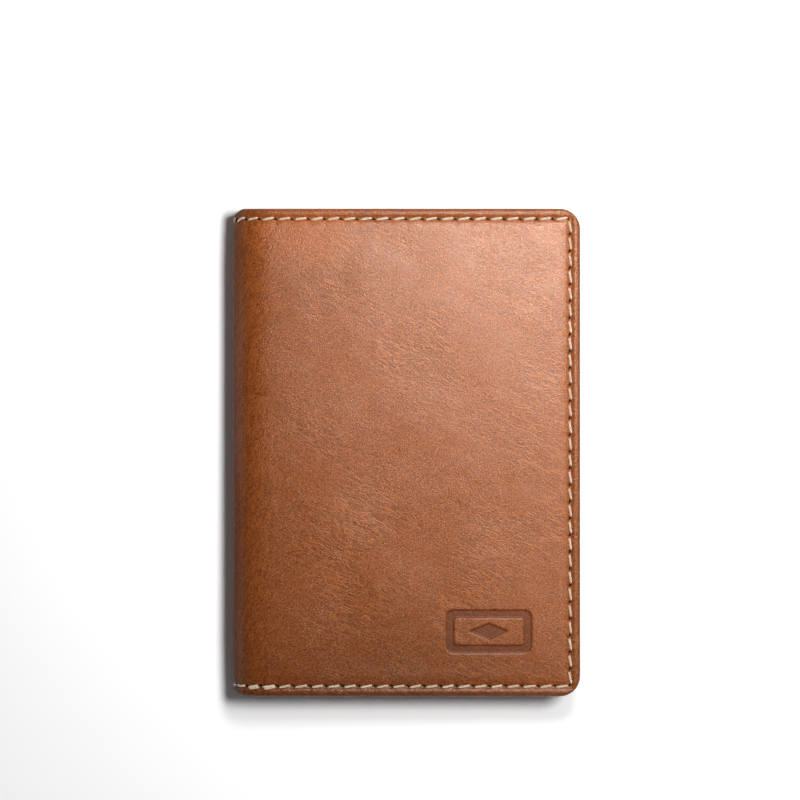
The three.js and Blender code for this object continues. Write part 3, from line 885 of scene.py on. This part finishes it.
def leather_material(name, base, dark, pale, on_cover, grain=1.0):
    """Tan leather: fine pebbled grain, slanting creases in patches, and soft patches of tone."""
    n = Nodes(name, IOR=1.5, Specular_IOR_Level=LEATHER_GLOSS, Specular_Tint=WAX_TINT)
    rest = n.attribute("rest")
    centred = lambda noise, amount: n.scaled(n.vector("SUBTRACT", noise, (0.5, 0.5, 0.5)), amount)
    drift = centred(n.noise(rest, 0.035, 1, output="Color"), 7.0)
    warped = n.vector("ADD", rest, centred(n.noise(rest, 1.0, 2, output="Color"), 0.8))
    flowing = n.vector("ADD", warped, drift)
    pebble = n.ramp(n.cells(n.turned(warped, CREASE_ANGLE, (1.5, 2.5, 1.0)), 1.0), 0.0, 0.26)
    fine = n.ramp(n.cells(n.vector("ADD", warped, (3.1, 7.7, 1.3)), 3.6), 0.0, 0.3)
    patch = n.ramp(n.noise(rest, 0.07, 2), 0.36, 0.62)
    lines = n.noise(n.turned(flowing, CREASE_ANGLE, (0.20, 1.1, 1.0)), 1.0, 1, 0.5)
    crease = n.line(lines, 0.065)
    crease_patch = n.ramp(n.noise(n.vector("ADD", rest, (40, 11, 0)), 0.05, 2), 0.38, 0.62)
    crease = n.math("MULTIPLY", crease, crease_patch)
    fold_lines = n.noise(n.turned(flowing, 68, (0.30, 1.25, 1.0)), 1.0, 2, 0.6)
    fold_lines = n.line(fold_lines, 0.07)
    along = n.split(n.vector("ADD", rest, drift))[0]
    near_fold = n.ramp(along, FOLD_X + 9, FOLD_X + 1)
    near_fold = n.math("MULTIPLY", near_fold, n.ramp(along, APEX_S, APEX_S + 4))
    fold_lines = n.math("MULTIPLY", fold_lines, near_fold)
    crease = n.math("MULTIPLY", crease, n.math("SUBTRACT", 1.0, near_fold))
    crease = n.math("MAXIMUM", crease, fold_lines)
    lined = n.math("MAXIMUM", crease_patch, near_fold)
    roll = n.noise(n.turned(flowing, CREASE_ANGLE, (0.22, 0.75, 1.0)), 1.0, 2, 0.5)
    pores = n.noise(warped, 3.7, 2, 0.6)

    height = n.math("MULTIPLY", pebble, n.math("MULTIPLY_ADD", patch, 0.008 * grain, 0.008 * grain))
    height = n.math("MULTIPLY_ADD", fine, 0.006 * grain, height)
    height = n.math("MULTIPLY_ADD", crease, 0.016 * grain, height)
    height = n.math("MULTIPLY_ADD", roll, 0.014 * grain, height)
    height = n.math("MULTIPLY_ADD", pores, 0.012 * grain, height)

    tone = n.noise(n.vector("ADD", rest, (7, 90, 0)), 0.045, 1, 0.5)
    shade = n.blend(n.ramp(tone, 0.30, 0.70), dark, base)
    shade = n.blend(n.math("MULTIPLY", lined, 0.14), shade, n.times(shade, colour(0.40, 0.36, 0.34)))
    ridge = n.math("MULTIPLY", n.ramp(pores, 0.43, 0.55), n.math("MULTIPLY_ADD", lined, -0.20, 1.0))
    shade = n.blend(n.math("MAXIMUM", ridge, n.math("MULTIPLY", crease, 0.62)), shade, pale)
    groove = n.math("SUBTRACT", 1.0, n.math("MULTIPLY", pebble, fine))
    groove = n.math("MULTIPLY", groove, 0.90 * grain)
    groove = n.math("MULTIPLY", groove, n.math("MULTIPLY_ADD", crease, -0.4, 1.0))
    shade = n.blend(groove, shade, n.times(shade, colour(0.52, 0.42, 0.35)))
    rough = n.math("MULTIPLY_ADD", pores, 0.12, 0.29)

    if on_cover:
        shade, rough, height = cover_details(n, rest, warped, drift, shade, rough, height)
    n.set("Base Color", shade)
    n.set("Roughness", rough)
    n.set("Normal", n.bump(height))
    return n.material


def edge_material():
    """Painted edges, with the line where the leather meets the folded strip below it."""
    n = Nodes("edge_paint", Roughness=0.55, Specular_IOR_Level=0.3)
    rest = n.attribute("rest")
    grain = n.noise(n.turned(rest, 0, (0.4, 0.4, 6.0)), 1.0, 3)
    paint = n.blend(grain, colour(0.085, 0.030, 0.012), colour(0.150, 0.056, 0.024))
    below = n.split(rest)[2]
    joint = n.ramp(n.math("ABSOLUTE", n.math("SUBTRACT", below, JOINT_AT)), 3.0, 0.5)
    n.set("Base Color", n.blend(n.math("MULTIPLY", joint, 0.7), paint, colour(0.030, 0.010, 0.005)))
    n.set("Normal", n.bump(n.math("MULTIPLY_ADD", joint, -1.5, grain), 0.03 * MM))
    return n.material


def cloth_material():
    """Fine twill lining: diagonal ribs crossed by a plain thread count."""
    n = Nodes("lining_twill", Roughness=0.9, Specular_IOR_Level=0.2, Sheen_Weight=0.06)
    rest = n.attribute("rest")
    wobble = n.vector("ADD", rest, n.scaled(n.noise(rest, 1.5, 2, output="Color"), 0.08))
    x, y, _ = n.split(wobble)
    rib = n.math("SINE", n.math("MULTIPLY", n.math("ADD", x, y), 2 * math.pi / TWILL_RIB))
    weft = n.math("SINE", n.math("MULTIPLY", n.math("SUBTRACT", x, y), 2 * math.pi / TWILL_WEFT))
    weave = n.math("MULTIPLY_ADD", weft, 0.25, n.math("MULTIPLY", rib, 0.5))
    fuzz = n.noise(rest, 3.0, 4, 0.6)
    tone = n.blend(n.ramp(weave, -0.8, 0.8), colour(0.055, 0.031, 0.017), colour(0.130, 0.078, 0.046))
    tone = n.blend(n.math("MULTIPLY", fuzz, 0.4), tone, colour(0.155, 0.099, 0.062))
    n.set("Base Color", tone)
    n.set("Normal", n.bump(n.math("MULTIPLY_ADD", fuzz, 0.3, weave), 0.05 * MM))
    return n.material


def thread_material():
    n = Nodes("waxed_thread", Roughness=0.55, Sheen_Weight=0.15)
    place_in = n.add("ShaderNodeTexCoord").outputs["Object"]
    tone, ridge, _ = n.split(n.attribute("tone"))
    fibre = n.noise(place_in, 9000.0, 3, 0.6)
    shade = n.blend(tone, colour(0.86, 0.75, 0.61), colour(0.97, 0.89, 0.77))
    shade = n.blend(n.ramp(fibre, 0.35, 0.7), n.times(shade, colour(0.72, 0.62, 0.52)), shade)
    # Darker where the plies turn in towards each other: painted shade between the plies.
    shade = n.blend(n.ramp(ridge, -0.3, 0.8), n.times(shade, colour(0.30, 0.20, 0.13)), shade)
    n.set("Base Color", shade)
    n.set("Normal", n.bump(fibre, 0.03 * MM))
    return n.material


def board_material():
    n = Nodes("fibre_board", Roughness=0.9)
    place_in = n.add("ShaderNodeTexCoord").outputs["Object"]
    fibre = n.noise(n.turned(place_in, 20, (400, 1500, 800)), 1.0, 4, 0.6)
    n.set("Base Color", n.blend(fibre, colour(0.20, 0.15, 0.11), colour(0.34, 0.27, 0.20)))
    n.set("Normal", n.bump(fibre, 0.05 * MM))
    return n.material


# ---- Build ----
cover_leather = leather_material("cover_leather", TAN, TAN_DARK, TAN_PALE, on_cover=True)
pocket_leather = leather_material("pocket_leather", TAN, TAN_DARK, POCKET_PALE, on_cover=False, grain=0.9)
edge_paint = edge_material()
lining_cloth = cloth_material()
waxed_thread = thread_material()
fibre_board = board_material()

shape_outer = twisted_stitch(STITCH_VISIBLE, THREAD_R, THREAD_TURNS, THREAD_DIP)
shape_inner = twisted_stitch(
    STITCH_VISIBLE, INNER_THREAD_R, THREAD_TURNS, INNER_THREAD_DIP, sides=6, steps=14
)

mark_span = lambda i: (
    MARK_CENTRE[i] - MARK_SIZE[i] / 2 - MARK_MARGIN,
    MARK_CENTRE[i] + MARK_SIZE[i] / 2 + MARK_MARGIN,
)


def follow_fold(piece, half):
    """Bakes the piece's transform into its mesh; both halves are treated alike."""
    if half == "front":
        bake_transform(piece)
    else:
        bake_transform(piece)


for half in ("back", "front"):
    stamped = half == "front"
    skin = CoverSkin(stamped, 0.0 if stamped else BACK_LIFT)
    fine_x = ((*mark_span(0), 0.2),) if stamped else ()
    fine_y = ((*mark_span(1), 0.2),) if stamped else ()
    shell = cover(half, skin, cover_leather, fine_x, fine_y)
    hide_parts(f"{half}_cover_leather", *(["spine_leather"] if half == "back" else []))
    follow_fold(shell, half)

    cloth = lining(half, lining_cloth)
    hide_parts(f"{half}_lining", *(["spine_lining", "spine_reinforcement"] if half == "back" else []))
    follow_fold(cloth, half)

    # The two stitches that cross the fold belong to the front half. The seam is locked off with doubled stitches.
    first, last = (0, ALL_STITCHES) if half == "front" else (1, ALL_STITCHES - 1)
    seats = [seam_point(k) for k in range(first, last + 1)]
    doubled = []
    for k in DOUBLED_STITCHES if half == "front" else ():
        centre, ahead, out = seam_point(ALL_STITCHES - k)
        doubled.append((centre + DOUBLED_OUT * out - DOUBLED_BACK * ahead, ahead, out))
    laid = lambda s, y, h: bend(s, y, -(skin.lifted(s) - THREAD_SEAT - eased(s) + h), half)
    parts = [stitch_mesh(seats + doubled, laid, *shape_outer)]
    over_hem = [seat for seat in seats if seat[0][0] < PANEL_LEFT - 0.6]
    on_hem = lambda s, y, h: bend(s, y, HEM_DEPTH - 0.04 + h, half)
    parts.append(stitch_mesh(over_hem, on_hem, *shape_inner))
    thread = thread_object(f"{half}_cover_stitching", parts, waxed_thread)
    spine_threads = ["spine_top_seam_thread", "spine_bottom_seam_thread"] if half == "back" else []
    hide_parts(f"{half}_cover_seam_thread", *spine_threads)
    follow_fold(thread, half)

    for name, panel, slot_name in (
        ("slip_pocket_backing", backing, "lining_cloth"),
        ("rear_card_pocket", rear_pocket, "pocket_leather"),
        ("front_card_pocket", front_pocket, "pocket_leather"),
    ):
        piece = panel.build(f"{half}_{name}_sheet", half, [pocket_leather, edge_paint])
        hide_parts(f"{half}_{name}")
        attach(piece, f"{half}_half")

    on_stack = [seat for seat in seats if seat[0][0] >= PANEL_LEFT + 0.6]
    face = lambda x, y, h: place(x, y, stack_face(y) + h, half)
    stitches = stitch_mesh(on_stack, face, *shape_inner)
    inner = thread_object(f"{half}_inner_stitching", [stitches], waxed_thread)
    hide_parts(f"{half}_inner_seam_thread")
    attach(inner, f"{half}_half")

    side_ys = np.arange(-TOP + SEAM_IN + 3, REAR_MOUTH - 1.5, SIDE_PITCH)
    up_y, out_x = np.array([0.0, 1.0]), np.array([-1.0, 0.0])
    side_seats = [(np.array([SIDE_SEAM_X, y]), up_y, out_x) for y in side_ys]
    stitches = stitch_mesh(side_seats, face, *shape_inner)
    side = thread_object(f"{half}_pocket_side_stitching", [stitches], waxed_thread)
    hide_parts(f"{half}_pocket_side_thread")
    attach(side, f"{half}_half")

    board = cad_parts[f"{half}_cover_board"]
    board.data.materials.clear()
    board.data.materials.append(fibre_board)

# ---- Floor, lights and camera ----
REACH = 6
floor_corners = [(-REACH, -REACH, 0), (REACH, -REACH, 0), (REACH, REACH, 0), (-REACH, REACH, 0)]
floor_mesh = bpy.data.meshes.new("floor")
floor_mesh.from_pydata(floor_corners, [], [(0, 1, 2, 3)])
floor_nodes = Nodes("floor_white", Roughness=1.0)
floor_nodes.set("Specular IOR Level", 0.0)
floor_nodes.set("Base Color", colour(0.96, 0.96, 0.96))
floor_mesh.materials.append(floor_nodes.material)
floor = bpy.data.objects.new("floor", floor_mesh)
bpy.context.scene.collection.objects.link(floor)


def area_light(name, place_at, aim, size, watts, glossy=True, diffuse=True):
    """A soft light. Without glossy it gives no reflection, and without diffuse it gives nothing else."""
    data = bpy.data.lights.new(name, "AREA")
    data.shape = "RECTANGLE"
    data.size, data.size_y = size
    data.energy = watts
    light = bpy.data.objects.new(name, data)
    light.location = place_at
    light.rotation_euler = (Vector(aim) - Vector(place_at)).to_track_quat("-Z", "Y").to_euler()
    light.visible_camera = False
    light.visible_glossy = glossy
    light.visible_diffuse = diffuse
    bpy.context.scene.collection.objects.link(light)


area_light("key", (0.316, 0.14, 0.80), (0, 0, 0), (0.22, 0.22), 4.0, glossy=False)
area_light("side", (0.24, 0.065, 0.53), (0, 0, 0), (0.20, 0.14), 1.05, glossy=False)
area_light("lamp", (0.042, 0.056, 0.17), (0.042, 0.056, 0), (0.06, 0.06), 0.235, glossy=False)
area_light("gloss_top", (0.038, 0.072, 0.17), (0.038, 0.072, 0), (0.06, 0.06), 0.38, diffuse=False)
area_light("gloss_side", (0.064, -0.012, 0.17), (0.064, -0.012, 0), (0.05, 0.06), 0.045, diffuse=False)

world = bpy.data.worlds.new("studio")
bpy.context.scene.world = world
world.use_nodes = True
WORLD_STRENGTH = 0.11
world.node_tree.nodes["Background"].inputs[0].default_value = colour(1, 1, 1)
world.node_tree.nodes["Background"].inputs[1].default_value = WORLD_STRENGTH

bpy.context.scene.view_settings.view_transform = "Standard"
bpy.context.scene.view_settings.look = "None"

# FIELD is the width of the view at the top of the wallet, in millimetres; the camera is high enough to look flat.
FIELD = 172.16
CAMERA_HEIGHT = 1.5
SENSOR = 36.0
camera_data = bpy.data.cameras.new("camera")
camera_data.sensor_width = SENSOR
camera_data.lens = SENSOR * CAMERA_HEIGHT / (FIELD * MM)
camera_data.clip_start, camera_data.clip_end = 0.05, 10.0
camera = bpy.data.objects.new("camera", camera_data)
camera.location = (-1.44 * MM, 11.3 * MM, cad_high.z + CAMERA_HEIGHT)
bpy.context.scene.collection.objects.link(camera)
bpy.context.scene.camera = camera
